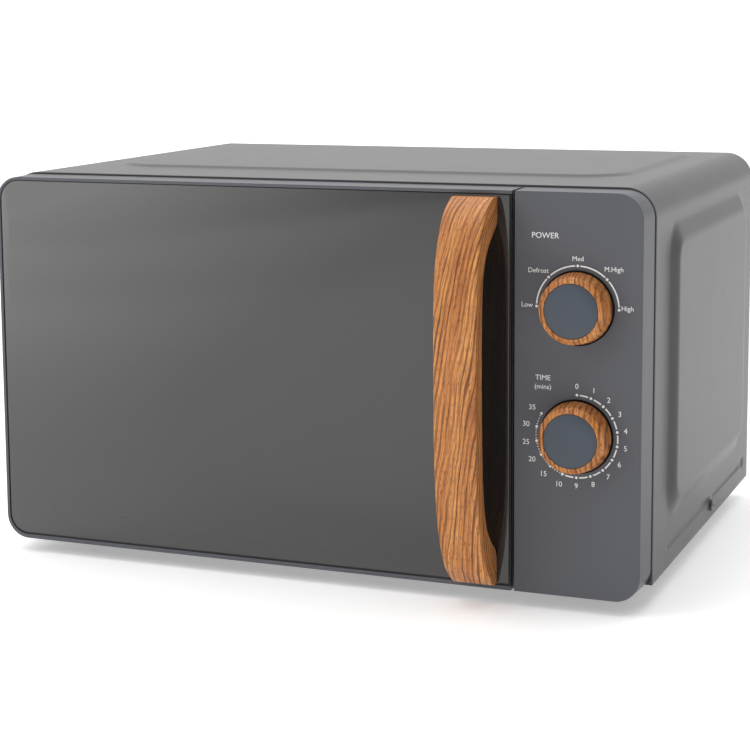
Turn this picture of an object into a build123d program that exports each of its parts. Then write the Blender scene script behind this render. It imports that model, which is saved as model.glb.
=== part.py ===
from build123d import *
import os

# Compact 17 litre microwave oven with two dials, in millimetres.
# X runs to the right as seen from the front, Y to the back, +Z up. The origin lies on the table
# under the middle of the whole oven, handle and cord inlet included.

# ---- driving dimensions ---------------------------------------------------------------------
WIDTH = 445.4            # across the moulded front
FRONT_HEIGHT = 248.0     # flat face of the front, bottom edge to top edge
FOOT_HEIGHT = 9.5        # table to the face's bottom edge
FRONT_DEPTH = 22.0       # door and control panel, face to seam
DRAFT = 1.5              # how much the front spreads on each side between face and seam
TOP_DRAFT = 0.3          # the same at its top and bottom
BODY_DEPTH = 328.0       # door face to rear panel
HANDLE_PROUD = 41.5      # handle's front in front of the door's face
GLAND_PROUD = 6.5        # cord inlet's end behind the rear panel
SHEET = 1.0              # steel sheet
SHELL = 2.5              # moulded wall
CLEAR = 0.3              # free gap between pieces that move past each other
RUNNING = 0.05           # radial clearance of a shaft in its bore

FACE_Y = (HANDLE_PROUD - BODY_DEPTH - GLAND_PROUD) / 2
SEAM_Y = FACE_Y + FRONT_DEPTH
BODY_Y = SEAM_Y + 1.5                      # the cabinet starts behind a narrow dark seam
REAR_Y = FACE_Y + BODY_DEPTH
FACE_TOP = FOOT_HEIGHT + FRONT_HEIGHT
FACE_RADIUS = 16.0
SEAM_RADIUS = FACE_RADIUS + (DRAFT + TOP_DRAFT) / 2

CABINET_HALF = WIDTH / 2 + 0.5              # the steel stands just proud of the moulding
CABINET_BOTTOM = 15.0
CABINET_TOP = FACE_TOP + 1.5
CABINET_RADIUS = 19.0
SIDE_RISE = 4.5                            # pressed panel in each side
TOP_RISE = 1.4                             # pressed panel in the top

SPLIT_X = 140.2                            # right edge of the door
SPLIT_GAP = 2.0
PANEL_X = SPLIT_X + SPLIT_GAP

HINGE_X = -WIDTH / 2 + 7.5
HINGE_Y = FACE_Y + 9.0
HINGE_PIN_R = 2.5
HINGE_TAB = 2.0
HINGE_LEVELS = (32.0, 235.0)               # lower and upper tab, height of the middle of the tab

CAVITY = (-206.0, 99.0, BODY_Y + SHEET, 158.0, 37.0, 235.0)
TURN_X = (CAVITY[0] + CAVITY[1]) / 2
TURN_Y = (CAVITY[2] + CAVITY[3]) / 2
FLOOR_Z = CAVITY[4]
TRAY_R = 122.5
TRAY_Z = FLOOR_Z + 13.1                    # underside of the glass tray
ROLLER_R = 6.3
ROLLER_TRACK = 98.0
ROLLER_Z = FLOOR_Z + 6.5

DIAL_X = 181.5
DIAL_LEVELS = {"power": FOOT_HEIGHT + 178.6, "timer": FOOT_HEIGHT + 100.3}
KNOB_R = 21.8
KNOB_PROUD = 15.2
CAP_R = 17.0
SPINDLE_R = 3.0

HANDLE_X = (104.5, 131.5)
HANDLE_SCREW_LEVELS = (27.0, 244.0)

LATCH_X = 124.0
LATCH_LEVELS = (73.0, 203.0)               # lower and upper hook
FINGER_LEVEL = 134.0                       # plain finger between the hooks
LATCH_LIFT = 3.5

FAN_X, FAN_Z, FAN_R = 160.0, 162.0, 46.0
TUBE_Y, TUBE_Z = 65.0, 157.0               # axis of the magnetron tube


# ---- building blocks ------------------------------------------------------------------------
def block(x0, x1, y0, y1, z0, z1):
    """Rectangular solid between two opposite corners."""
    return Pos((x0 + x1) / 2, (y0 + y1) / 2, (z0 + z1) / 2) * Box(x1 - x0, y1 - y0, z1 - z0)


def rod_x(x0, x1, y, z, radius):
    """Round bar along X."""
    return Pos((x0 + x1) / 2, y, z) * Rot(0, 90, 0) * Cylinder(radius, x1 - x0)


def rod_y(x, y0, y1, z, radius):
    """Round bar along Y."""
    return Pos(x, (y0 + y1) / 2, z) * Rot(90, 0, 0) * Cylinder(radius, y1 - y0)


def rod_z(x, y, z0, z1, radius):
    """Round bar along Z."""
    return Pos(x, y, (z0 + z1) / 2) * Cylinder(radius, z1 - z0)


def outline(x0, x1, z0, z1, radius, y):
    """Rounded upright rectangle in the plane at y."""
    plane = Plane(((x0 + x1) / 2, y, (z0 + z1) / 2), x_dir=(1, 0, 0), z_dir=(0, -1, 0))
    return plane * RectangleRounded(x1 - x0, z1 - z0, radius)


def slab(x0, x1, z0, z1, y0, y1, radius):
    """Upright plate facing the front, with rounded corners."""
    return extrude(outline(x0, x1, z0, z1, radius, y1), amount=y1 - y0)


def flat_outline(x0, x1, y0, y1, radius, z):
    """Rounded level rectangle at height z."""
    return Pos((x0 + x1) / 2, (y0 + y1) / 2, z) * RectangleRounded(x1 - x0, y1 - y0, radius)


def side_outline(y0, y1, z0, z1, radius, x):
    """Rounded rectangle in the upright plane at x."""
    plane = Plane((x, (y0 + y1) / 2, (z0 + z1) / 2), x_dir=(0, 1, 0), z_dir=(1, 0, 0))
    return plane * RectangleRounded(y1 - y0, z1 - z0, radius)


def ring_y(x, y0, y1, z, outer, inner):
    """Round washer or tube along Y."""
    return rod_y(x, y0, y1, z, outer) - rod_y(x, y0 - 1, y1 + 1, z, inner)


def group(pieces):
    """Separate solids kept together in one node."""
    return Compound(children=[solid for piece in pieces for solid in piece.solids()])


def mirror_x(piece):
    """The same piece on the other side of the oven."""
    return mirror(piece, about=Plane.YZ)


# ---- cabinet --------------------------------------------------------------------------------
def raised_side(inset):
    """Raised field of the right side, moved inward by the sheet's thickness where asked."""
    low = side_outline(FACE_Y + 64, FACE_Y + 296, 46.5, 234, 24, CABINET_HALF - inset)
    high = side_outline(FACE_Y + 79, FACE_Y + 281, 64, 219, 15, CABINET_HALF + SIDE_RISE - inset)
    return loft([low, high], ruled=True)


def raised_top(inset):
    """Raised field of the top, moved inward by the sheet's thickness where asked."""
    low = flat_outline(-188, 188, FACE_Y + 84, FACE_Y + 312, 38, CABINET_TOP - inset)
    high = flat_outline(-183, 183, FACE_Y + 89, FACE_Y + 307, 34, CABINET_TOP + TOP_RISE - inset)
    return loft([low, high], ruled=True)


def wrap(inset, y0, y1, bottom):
    """Solid inside one face of the wrap-over sheet."""
    half = CABINET_HALF - inset
    top = CABINET_TOP - inset
    body = slab(-half, half, bottom - 60, top, y0, y1, CABINET_RADIUS - inset)
    body -= block(-300, 300, y0 - 1, y1 + 1, bottom - 80, bottom)
    return body


def side_bead(y_front, y_back):
    """Narrow groove pressed along the foot of the right side."""
    return block(CABINET_HALF - 0.5, CABINET_HALF + 1, FACE_Y + y_front, FACE_Y + y_back, 27.0, 31.0)


def outer_cabinet():
    body = wrap(0, BODY_Y, REAR_Y, CABINET_BOTTOM) + raised_side(0) + mirror_x(raised_side(0)) + raised_top(0)
    hollow = wrap(SHEET, BODY_Y - 1, REAR_Y - SHEET, CABINET_BOTTOM - 1)
    hollow += raised_side(SHEET) + mirror_x(raised_side(SHEET)) + raised_top(SHEET)
    body -= hollow
    lip = 12.0
    body -= slab(-CABINET_HALF + lip, CABINET_HALF - lip, CABINET_BOTTOM - 60, CABINET_TOP - lip,
                 REAR_Y - 5, REAR_Y + 1, 8)
    body -= side_bead(62, 190) + side_bead(200, 299)
    body -= mirror_x(side_bead(62, 190) + side_bead(200, 299))
    dimple = Pos(CABINET_HALF + 3.5, FACE_Y + 305, 29.5) * Sphere(4.0)
    body -= dimple + mirror_x(dimple)
    for side in (-1, 1):
        body -= rod_x(side * CABINET_HALF - 5, side * CABINET_HALF + 5, *SIDE_SCREW, 1.7)
    for x, z in REAR_SCREWS:
        body -= rod_y(x, REAR_Y - 3, REAR_Y + 1, z, 1.7)
    return body


SIDE_SCREW = (FACE_Y + 195, 24.0)
REAR_SCREWS = [(-CABINET_HALF + 6, 120.0), (CABINET_HALF - 6, 120.0), (-120.0, CABINET_TOP - 6),
               (0.0, CABINET_TOP - 6), (120.0, CABINET_TOP - 6)]


def screw(head_r, head_height, shank_r, length):
    """Cross-head screw along +Z, head up, the underside of its head at the origin."""
    head = Cylinder(head_r, head_height, align=(Align.CENTER, Align.CENTER, Align.MIN))
    head = fillet(head.faces().sort_by(Axis.Z)[-1].edges(), head_height * 0.45)
    for turn in (0, 90):
        head -= Pos(0, 0, head_height) * Rot(0, 0, turn) * Box(head_r * 1.1, head_r * 0.25, head_height)
    return head + Cylinder(shank_r, length, align=(Align.CENTER, Align.CENTER, Align.MAX))


def side_screws():
    return group([Pos(side * CABINET_HALF, *SIDE_SCREW) * Rot(0, 90 * side, 0) * screw(4.0, 2.0, 1.6, 7.0)
                  for side in (-1, 1)])


def rear_screws():
    return group([Pos(x, REAR_Y, z) * Rot(-90, 0, 0) * screw(3.8, 2.0, 1.6, 6.0) for x, z in REAR_SCREWS])


def base_plate():
    half = CABINET_HALF - SHEET - 0.2
    y0, y1 = BODY_Y + SHEET + 0.2, REAR_Y - 2 * SHEET - 0.2
    plate = block(-half, half, y0, y1, 18.0, 19.0)
    for side in (-1, 1):
        edge = side * (half - SHEET / 2)
        plate += block(edge - SHEET / 2, edge + SHEET / 2, y0, y1, 18.0, 31.0)
        plate -= rod_x(edge - 3, edge + 3, *SIDE_SCREW, 1.7)
    for row in range(9):
        y = y0 + 60 + row * 9
        plate -= block(CAVITY[1] + 100, CAVITY[1] + 116, y, y + 4, 17, 20)
    for x, y in FOOT_PLACES:
        plate -= rod_z(x, y, 17, 20, 2.6)
    return plate


FOOT_PLACES = [(x, y) for x in (-185.0, 185.0) for y in (FACE_Y + 62, FACE_Y + 292)]


def foot(x, y):
    """Round rubber foot with a plug that snaps through the base."""
    pad = Cone(12.0, 15.0, 17.9, align=(Align.CENTER, Align.CENTER, Align.MIN))
    pad = fillet(pad.faces().sort_by(Axis.Z)[0].edges(), 1.5)
    plug = Pos(0, 0, 17.9) * Cylinder(2.5, 4.0, align=(Align.CENTER, Align.CENTER, Align.MIN))
    return Pos(x, y, 0) * (pad + plug)


def feet():
    return group([foot(x, y) for x, y in FOOT_PLACES])


GLAND = (180.0, 60.0)


def rear_panel():
    half = CABINET_HALF - SHEET - 0.2
    y1 = REAR_Y - SHEET
    y0 = y1 - SHEET
    panel = slab(-half, half, 19.2 - 30, CABINET_TOP - SHEET - 0.2, y0, y1, CABINET_RADIUS - SHEET)
    panel -= block(-300, 300, y0 - 1, y1 + 1, -40, 19.2)
    for column in range(8):
        for row in range(12):
            x = FAN_X - 42 + column * 12
            z = FAN_Z - 44 + row * 8
            panel -= block(x - 4.5, x + 4.5, y0 - 1, y1 + 1, z - 1.5, z + 1.5)
    for column in range(10):
        for row in range(4):
            x = -190 + column * 12
            z = 205 + row * 8
            panel -= block(x - 4.5, x + 4.5, y0 - 1, y1 + 1, z - 1.5, z + 1.5)
    panel -= rod_y(GLAND[0], y0 - 1, y1 + 1, GLAND[1], 9.0)
    for x, z in REAR_SCREWS:
        panel -= rod_y(x, y0 - 1, y1 + 1, z, 1.7)
    return panel


GLAND_BORE_R = 3.8
GLAND_BORE = 20.0


def cable_gland():
    """Bush that the mains cord passes through, clipped into the rear panel."""
    end = REAR_Y + GLAND_PROUD
    face = REAR_Y - SHEET
    x, z = GLAND
    bush = rod_y(x, face, end - 3.0, z, 13.0) + rod_y(x, end - 3.0, end, z, 9.5)
    bush += rod_y(x, end - GLAND_BORE, face, z, 8.9)
    bush += ring_y(x, end - GLAND_BORE, face - SHEET - 0.2, z, 10.6, 8.0)
    return bush - rod_y(x, end - GLAND_BORE - 1, end + 1, z, GLAND_BORE_R)


def front_frame():
    """Upright sheet round the cavity's mouth and the control bay."""
    half = CABINET_HALF - SHEET - 0.2
    y0, y1 = BODY_Y, BODY_Y + SHEET
    frame = slab(-half, half, 19.2, CABINET_TOP - SHEET - 0.2, y0, y1, CABINET_RADIUS - SHEET - 0.2)
    frame -= slab(CAVITY[0], CAVITY[1], CAVITY[4], CAVITY[5], y0 - 1, y1 + 1, 9)
    frame -= slab(147, 214, 78, 222, y0 - 1, y1 + 1, 4)
    for level in LATCH_LEVELS:
        frame -= block(LATCH_X - 5, LATCH_X + 6, y0 - 1, y1 + 1, level - 11, level + 11)
    frame -= block(LATCH_X - 5, LATCH_X + 6, y0 - 1, y1 + 1, FINGER_LEVEL - 6, FINGER_LEVEL + 9)
    for level in HINGE_LEVELS:
        frame -= block(HINGE_X - 4.4, HINGE_X + 4.4, y0 - 1, y1 + 1, level - 1.2, level + 1.2)
    return frame


# ---- oven cavity ----------------------------------------------------------------------------
GUIDE = (100.2, 140.0, 22.0, 108.0, 134.0, 180.0)       # waveguide: x, y and z limits
MOUTH = (38.0, 92.0, 140.0, 174.0)                       # opening in the cavity wall: y and z limits
LAMP = (-22.0, 214.0)                                    # lamp behind the cavity wall: y and z


def oven_cavity():
    x0, x1, y0, y1, z0, z1 = CAVITY
    shell = slab(x0 - SHEET, x1 + SHEET, z0 - SHEET, z1 + SHEET, y0, y1 + SHEET, 10)
    shell -= slab(x0, x1, z0, z1, y0 - 1, y1, 9)
    shell -= block(x1 - 1, x1 + SHEET + 1, *MOUTH)
    shell -= rod_z(TURN_X, TURN_Y, z0 - SHEET - 1, z0 + 1, 7.0)
    for column in range(5):
        for row in range(3):
            shell -= rod_x(x1 - 1, x1 + 2, LAMP[0] - 14 + column * 7, LAMP[1] - 7 + row * 7, 1.8)
    for column in range(7):
        for row in range(5):
            shell -= rod_x(x0 - 2, x0 + 1, 90 + column * 7, 190 + row * 7, 1.8)
    return shell


def waveguide():
    x0, x1, y0, y1, z0, z1 = GUIDE
    duct = block(*GUIDE) - block(x0 + SHEET, x1 - SHEET, y0 + SHEET, y1 - SHEET, z0 + SHEET, z1 - SHEET)
    duct -= block(x0 - 1, x0 + 2, *MOUTH)
    return duct - rod_x(x1 - 2, x1 + 1, TUBE_Y, TUBE_Z, 12)


def waveguide_cover():
    """Thin mica sheet over the waveguide's mouth, inside the cavity."""
    y0, y1, z0, z1 = MOUTH
    sheet = block(CAVITY[1] - 0.6, CAVITY[1] - 0.1, y0 - 10, y1 + 10, z0 - 10, z1 + 10)
    return sheet + rod_x(CAVITY[1] - 2.0, CAVITY[1] - 0.6, y0 - 5, z1 + 4, 2.5)


def turntable_motor():
    body = rod_z(TURN_X, TURN_Y, 19.2, FLOOR_Z - SHEET - 0.2, 24.5)
    for side in (-1, 1):
        ear = block(-5, 5, 22, 32, 0, 1.5) - rod_z(0, 28, -1, 3, 2.0)
        body += Pos(TURN_X, TURN_Y, FLOOR_Z - SHEET - 1.7) * Rot(0, 0, 90 + 90 * side) * ear
    return body - rod_z(TURN_X, TURN_Y, 24.0, FLOOR_Z, SPINDLE_R + RUNNING)


def drive_coupler():
    """Three-lobed driver on the turntable motor's shaft."""
    hub = rod_z(0, 0, FLOOR_Z + 1.0, TRAY_Z - 2.5, 8.0)
    for step in range(3):
        hub += Rot(0, 0, 120 * step) * block(0, 15, -3.5, 3.5, FLOOR_Z + 4.0, TRAY_Z - 2.5)
    hub += rod_z(0, 0, 24.5, FLOOR_Z + 1.0, SPINDLE_R)
    return Pos(TURN_X, TURN_Y, 0) * hub


def glass_tray():
    section = Plane.XZ * Polygon((0, 0), (TRAY_R - 16, 0), (TRAY_R - 6, 2.5), (TRAY_R, 9.5),
                                 (TRAY_R - 1.5, 12.0), (TRAY_R - 5.0, 9.5), (TRAY_R - 12, 5.0),
                                 (0, 4.5), align=None)
    tray = revolve(section, axis=Axis.Z)
    for step in range(3):
        tray += Rot(0, 0, 60 + 120 * step) * block(11, 23, -4.5, 4.5, -4.5, 0.5)
    return Pos(TURN_X, TURN_Y, TRAY_Z) * tray


ROLLER_ANGLES = (90.0, 210.0, 330.0)


def roller_ring():
    """Plastic ring under the tray, with an axle pin for each roller."""
    z0, z1 = ROLLER_Z - 2.0, ROLLER_Z + 2.0
    ring = rod_z(0, 0, z0, z1, 91.0) - rod_z(0, 0, z0 - 1, z1 + 1, 85.0)
    for angle in ROLLER_ANGLES:
        pin = rod_x(90, ROLLER_TRACK + 5.5, 0, ROLLER_Z, 1.5)
        stop = rod_x(ROLLER_TRACK + 4.0, ROLLER_TRACK + 5.5, 0, ROLLER_Z, 2.4)
        shoulder = rod_x(90, ROLLER_TRACK - 4.0, 0, ROLLER_Z, 2.4)
        ring += Rot(0, 0, angle) * (pin + stop + shoulder)
    return Pos(TURN_X, TURN_Y, 0) * ring


def tray_roller(angle):
    wheel = rod_x(ROLLER_TRACK - 3.2, ROLLER_TRACK + 3.2, 0, ROLLER_Z, ROLLER_R)
    wheel -= rod_x(ROLLER_TRACK - 4, ROLLER_TRACK + 4, 0, ROLLER_Z, 1.5 + RUNNING)
    return Pos(TURN_X, TURN_Y, 0) * Rot(0, 0, angle) * wheel


# ---- moulded front --------------------------------------------------------------------------
def front_block():
    """Drafted block of the whole front, before it is split into door and panel."""
    half = WIDTH / 2
    face = outline(-half + DRAFT, half - DRAFT, FOOT_HEIGHT, FACE_TOP, FACE_RADIUS, FACE_Y)
    seam = outline(-half, half, FOOT_HEIGHT - TOP_DRAFT, FACE_TOP + TOP_DRAFT, SEAM_RADIUS, SEAM_Y)
    return loft([face, seam], ruled=True)


def control_panel():
    x1 = WIDTH / 2
    panel = front_block() - block(-300, PANEL_X, FACE_Y - 1, SEAM_Y + 1, 0, 300)
    panel -= slab(PANEL_X + SHELL, x1 - DRAFT - SHELL, FOOT_HEIGHT + SHELL, FACE_TOP - SHELL,
                  FACE_Y + SHELL, SEAM_Y + 1, 13)
    for level in DIAL_LEVELS.values():
        panel -= rod_y(DIAL_X, FACE_Y - 1, FACE_Y + 5, level, 5.5)
        panel += ring_y(DIAL_X, FACE_Y + SHELL, FACE_Y + 3.2, level, 9.0, 5.5)
    return panel


GLASS = (-WIDTH / 2 + DRAFT + 2.2, SPLIT_X - 0.4, FOOT_HEIGHT + 2.9, FACE_TOP - 2.2)
GLASS_THICK = 3.2
DOOR_WEB = (FACE_Y + 3.5, FACE_Y + 5.6)    # wall behind the glass, front and back
HOOK_SLOT = (LATCH_X - 3.5, LATCH_X + 3.5)


def door_glass():
    x0, x1, z0, z1 = GLASS
    pane = slab(x0, x1, z0, z1, FACE_Y, FACE_Y + GLASS_THICK, 13.5)
    pane += block(x1 - 30, x1, FACE_Y, FACE_Y + GLASS_THICK, z0, z0 + 30)
    pane += block(x1 - 30, x1, FACE_Y, FACE_Y + GLASS_THICK, z1 - 30, z1)
    for level in HANDLE_SCREW_LEVELS:
        pane -= rod_y(sum(HANDLE_X) / 2, FACE_Y - 1, FACE_Y + 5, level, 2.6)
    return pane


def hinge_pocket(level):
    """Slot through the door's back and left edge that the fixed hinge tab swings in."""
    return block(-WIDTH / 2 - 1, HINGE_X + 5.5, HINGE_Y - 6.4, SEAM_Y + 1,
                 level - HINGE_TAB / 2 - 0.8, level + HINGE_TAB / 2 + 0.8)


def door_frame():
    x0, x1, z0, z1 = GLASS
    left = -WIDTH / 2
    frame = front_block() - block(SPLIT_X, 300, FACE_Y - 1, SEAM_Y + 1, 0, 300)
    rounding = block(left - 1, left + 4, SEAM_Y - 4, SEAM_Y + 1, 0, 300)
    rounding -= rod_z(left + 4, SEAM_Y - 4, 0, 300, 4.0)
    frame -= rounding
    recess = slab(x0 - 0.2, x1 + 0.2, z0 - 0.2, z1 + 0.2, FACE_Y - 1, DOOR_WEB[0], 13.7)
    recess += block(x1 - 30, x1 + 1, FACE_Y - 1, DOOR_WEB[0], z0 - 0.2, z1 + 0.2)
    frame -= recess
    frame -= slab(left + 3.6, SPLIT_X - 3.0, FOOT_HEIGHT + SHELL, FACE_TOP - SHELL,
                  DOOR_WEB[1], SEAM_Y + 1, 12)
    frame -= slab(-178, 72, 66, 210, FACE_Y, DOOR_WEB[1] + 1, 8)
    for level in HINGE_LEVELS:
        frame += block(left + 3.0, HINGE_X + 8, DOOR_WEB[0], SEAM_Y - 4, level - 14, level + 14)
        frame -= hinge_pocket(level)
        frame -= rod_z(HINGE_X, HINGE_Y, level - 9, level + 9, HINGE_PIN_R + RUNNING)
    for level in (100.0, 170.0):
        guide = block(LATCH_X - 9, LATCH_X + 9, DOOR_WEB[0], BAR_Y[1] + 1.6, level - 5, level + 5)
        frame += guide - block(LATCH_X - 4.3, LATCH_X + 4.3, BAR_Y[0] - 0.3, BAR_Y[1] + 0.3,
                               level - 6, level + 6)
    for level in HANDLE_SCREW_LEVELS:
        frame -= rod_y(sum(HANDLE_X) / 2, FACE_Y, DOOR_WEB[1] + 1, level, 2.6)
    return frame


def door_inner_panel():
    """Pressed steel pan that closes the door's back and holds the wave choke."""
    y0, y1 = DOOR_WEB[1] + 4.0, SEAM_Y - 2.5
    pan = slab(-201, 112, 42, 232, y0, y1, 10) - slab(-200, 111, 43, 231, y0 + SHEET, y1 + 1, 9)
    pan -= slab(-166, 60, 74, 200, y0 - 1, y1, 6)
    return pan


def door_screen():
    """Perforated steel sheet across the window."""
    y = DOOR_WEB[1] + 4.0
    return slab(-170, 64, 70, 204, y - 0.7, y - 0.1, 6)


def choke_cover():
    """Moulded ring that closes the door's back, with slots for the hooks."""
    y0, y1 = SEAM_Y - 2.2, SEAM_Y - 0.2
    ring = slab(HINGE_X + 9, SPLIT_X - 4, FOOT_HEIGHT + 4, FACE_TOP - 4, y0, y1, 8)
    ring -= slab(-160, 54, 80, 194, y0 - 1, y1 + 1, 5)
    for level in LATCH_LEVELS:
        ring -= block(*HOOK_SLOT, y0 - 1, y1 + 1, level - 10, level + 10)
    return ring - block(*HOOK_SLOT, y0 - 1, y1 + 1, FINGER_LEVEL - 4, FINGER_LEVEL + 8)


def door_handle():
    """Bowed D handle: a side outline drawn in Y and Z and given its width along X."""
    z = FOOT_HEIGHT
    y = FACE_Y
    outer_top = ThreePointArc((y - 9, z + 244), (y - 28, z + 228), (y - 40.5, z + 196))
    outer_mid = ThreePointArc((y - 40.5, z + 196), (y - HANDLE_PROUD, z + 140), (y - 40, z + 82))
    outer_low = ThreePointArc((y - 40, z + 82), (y - 30, z + 32), (y - 6, z + 4))
    inner_low = ThreePointArc((y - 3, z + 26), (y - 21, z + 47), (y - 28, z + 90))
    inner_mid = ThreePointArc((y - 28, z + 90), (y - 30, z + 146), (y - 29, z + 192))
    inner_top = ThreePointArc((y - 29, z + 192), (y - 17.5, z + 217), (y, z + 227))
    edge = [Line((y, z + 244), (y - 9, z + 244)), outer_top, outer_mid, outer_low,
            Line((y - 6, z + 4), (y, z + 4)), Line((y, z + 4), (y, z + 26)),
            Line((y, z + 26), (y - 3, z + 26)), inner_low, inner_mid, inner_top,
            Line((y, z + 227), (y, z + 244))]
    side = Plane((HANDLE_X[0], 0, 0), x_dir=(0, 1, 0), z_dir=(1, 0, 0)) * make_face(Wire(edge))
    bar = extrude(side, amount=HANDLE_X[1] - HANDLE_X[0])
    for level in HANDLE_SCREW_LEVELS:
        bar -= rod_y(sum(HANDLE_X) / 2, FACE_Y - 9, FACE_Y + 1, level, 1.8)
    return bar


def handle_screws():
    """Two screws that hold the handle from behind the door's wall."""
    return group([Pos(sum(HANDLE_X) / 2, DOOR_WEB[1], level) * Rot(-90, 0, 0) * screw(3.8, 2.0, 1.7, 13.0)
                  for level in HANDLE_SCREW_LEVELS])


def hinge_plate(level, flange_low, flange_high):
    """Steel tab with its pin, on a flange behind the front frame."""
    tab = block(HINGE_X - 4, HINGE_X + 4, HINGE_Y, BODY_Y + 2.7, level - HINGE_TAB / 2, level + HINGE_TAB / 2)
    tab += rod_z(HINGE_X, HINGE_Y, level - HINGE_TAB / 2, level + HINGE_TAB / 2, 4.0)
    tab += block(HINGE_X - 4, HINGE_X + 7, BODY_Y + SHEET + 0.2, BODY_Y + 2.7, flange_low, flange_high)
    return tab + rod_z(HINGE_X, HINGE_Y, level - 7, level + 7, HINGE_PIN_R)


# ---- latch ----------------------------------------------------------------------------------
BAR_Y = (FACE_Y + 13.5, FACE_Y + 17.5)     # latch bar, front and back
HOOK_TIP_Y = FACE_Y + 44.5
SPRING_Z = (216.0, 232.0)


def latch_hooks():
    """Slide bar in the door with two hooks and a plain finger."""
    bar = block(LATCH_X - 4, LATCH_X + 4, *BAR_Y, LATCH_LEVELS[0] - 12, SPRING_Z[0])
    for level in LATCH_LEVELS:
        bar += block(LATCH_X - 2, LATCH_X + 2, BAR_Y[0], HOOK_TIP_Y, level - 5, level + 5)
        bar += block(LATCH_X - 2, LATCH_X + 2, HOOK_TIP_Y - 6, HOOK_TIP_Y, level - 8, level - 5)
    return bar + block(LATCH_X - 2, LATCH_X + 2, BAR_Y[0], HOOK_TIP_Y, FINGER_LEVEL - 3, FINGER_LEVEL + 3)


def latch_spring():
    """Wire spring between the slide bar and its seat in the door, as stacked turns."""
    turns = 6
    pitch = (SPRING_Z[1] - SPRING_Z[0] - 2.0) / turns
    y = sum(BAR_Y) / 2
    coils = [Pos(LATCH_X, y, SPRING_Z[0] + 1.0 + pitch * (step + 0.5)) * Torus(2.6, 0.5) for step in range(turns)]
    spine = rod_z(LATCH_X + 2.6, y, SPRING_Z[0] + 0.3, SPRING_Z[1] - 0.3, 0.45)
    for coil in coils:
        spine += coil
    return spine


def latch_board():
    """Moulded bracket behind the front frame that holds the door switches."""
    y0 = BODY_Y + SHEET + 0.2
    y1 = HOOK_TIP_Y + 12.0
    x0, x1 = LATCH_X - 12, LATCH_X + 12
    board = block(x0, x1, y0, y1, 56, 220)
    board -= block(x0 + 2, x1 - 2, y0 - 1, y1 - 2, 55, 221)
    for level in LATCH_LEVELS:
        board += block(x0 + 1, x1 - 1, y0, HOOK_TIP_Y - 8, level - 14, level - 8.6)
        board += block(x0 + 1, x1 - 1, y1 - 3, y1 - 1, level - 9, level + 9)
    return board


SWITCH_LEVELS = (LATCH_LEVELS[0], FINGER_LEVEL, LATCH_LEVELS[1])
SWITCH_Y = HOOK_TIP_Y + 1.6


def door_switches():
    """Three snap switches, one behind each hook or finger."""
    cases = []
    for level in SWITCH_LEVELS:
        case = block(LATCH_X - 9.5, LATCH_X + 9.5, SWITCH_Y, SWITCH_Y + 7.0, level - 5, level + 5)
        cases.append(case - rod_y(LATCH_X, SWITCH_Y - 1, SWITCH_Y + 4.5, level, 1.2 + RUNNING))
    return group(cases)


def switch_plunger(level):
    return rod_y(LATCH_X, HOOK_TIP_Y + CLEAR, SWITCH_Y + 3.2, level, 1.2)


# ---- dials ----------------------------------------------------------------------------------
def knob(level):
    """Round knob whose rim stands round a recess for the cap."""
    section = Plane.YZ * Polygon((-0.8, 14.0), (-0.8, KNOB_R - 0.4), (-1.6, KNOB_R), (-12.8, KNOB_R - 1.4),
                                 (-13.6, KNOB_R - 1.9), (-KNOB_PROUD, CAP_R + 0.5), (-KNOB_PROUD, CAP_R + 0.1),
                                 (-12.0, CAP_R + 0.1), (-12.0, 0.0), (-3.0, 0.0), (-3.0, 14.0), align=None)
    body = revolve(section, axis=Axis.Y)
    body -= rod_y(0, -10.0, 0, 0, SPINDLE_R)
    return Pos(DIAL_X, FACE_Y, level) * body


def knob_cap(level):
    """Flat disc let into the front of a knob."""
    return rod_y(DIAL_X, FACE_Y - KNOB_PROUD + 0.4, FACE_Y - 12.0, level, CAP_R)


def spindle(level):
    shaft = rod_y(DIAL_X, FACE_Y - 10.0, FACE_Y + 14.0, level, SPINDLE_R)
    return shaft - block(DIAL_X + 2.0, DIAL_X + 4.0, FACE_Y - 11, FACE_Y - 4, level - 4, level + 4)


def timer_unit():
    """Clockwork timer and power switch in one frame behind the panel."""
    y0 = FACE_Y + 3.6
    low, high = DIAL_LEVELS["timer"], DIAL_LEVELS["power"]
    unit = block(DIAL_X - 30, DIAL_X + 30, y0, y0 + 1.5, low - 26, high + 26)
    unit += block(DIAL_X - 29, DIAL_X + 29, y0 + 1.5, y0 + 38, low - 24, low + 24)
    unit += block(DIAL_X - 22, DIAL_X + 22, y0 + 1.5, y0 + 26, high - 22, high + 22)
    for step in range(4):
        unit += block(DIAL_X - 20 + 12 * step, DIAL_X - 14 + 12 * step, y0 + 26, y0 + 34, high - 3, high - 2)
    for level in (low, high):
        unit -= rod_y(DIAL_X, y0 - 1, FACE_Y + 14.5, level, SPINDLE_R + RUNNING)
    return unit


def timer_bell():
    """Steel gong behind the timer."""
    y0 = FACE_Y + 3.6 + 38 + 0.2
    level = DIAL_LEVELS["timer"]
    gong = rod_y(DIAL_X, y0 + 4, y0 + 12, level, 15.0) - rod_y(DIAL_X, y0 + 3, y0 + 11, level, 14.0)
    return gong + rod_y(DIAL_X, y0, y0 + 12, level, 2.5)


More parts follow.
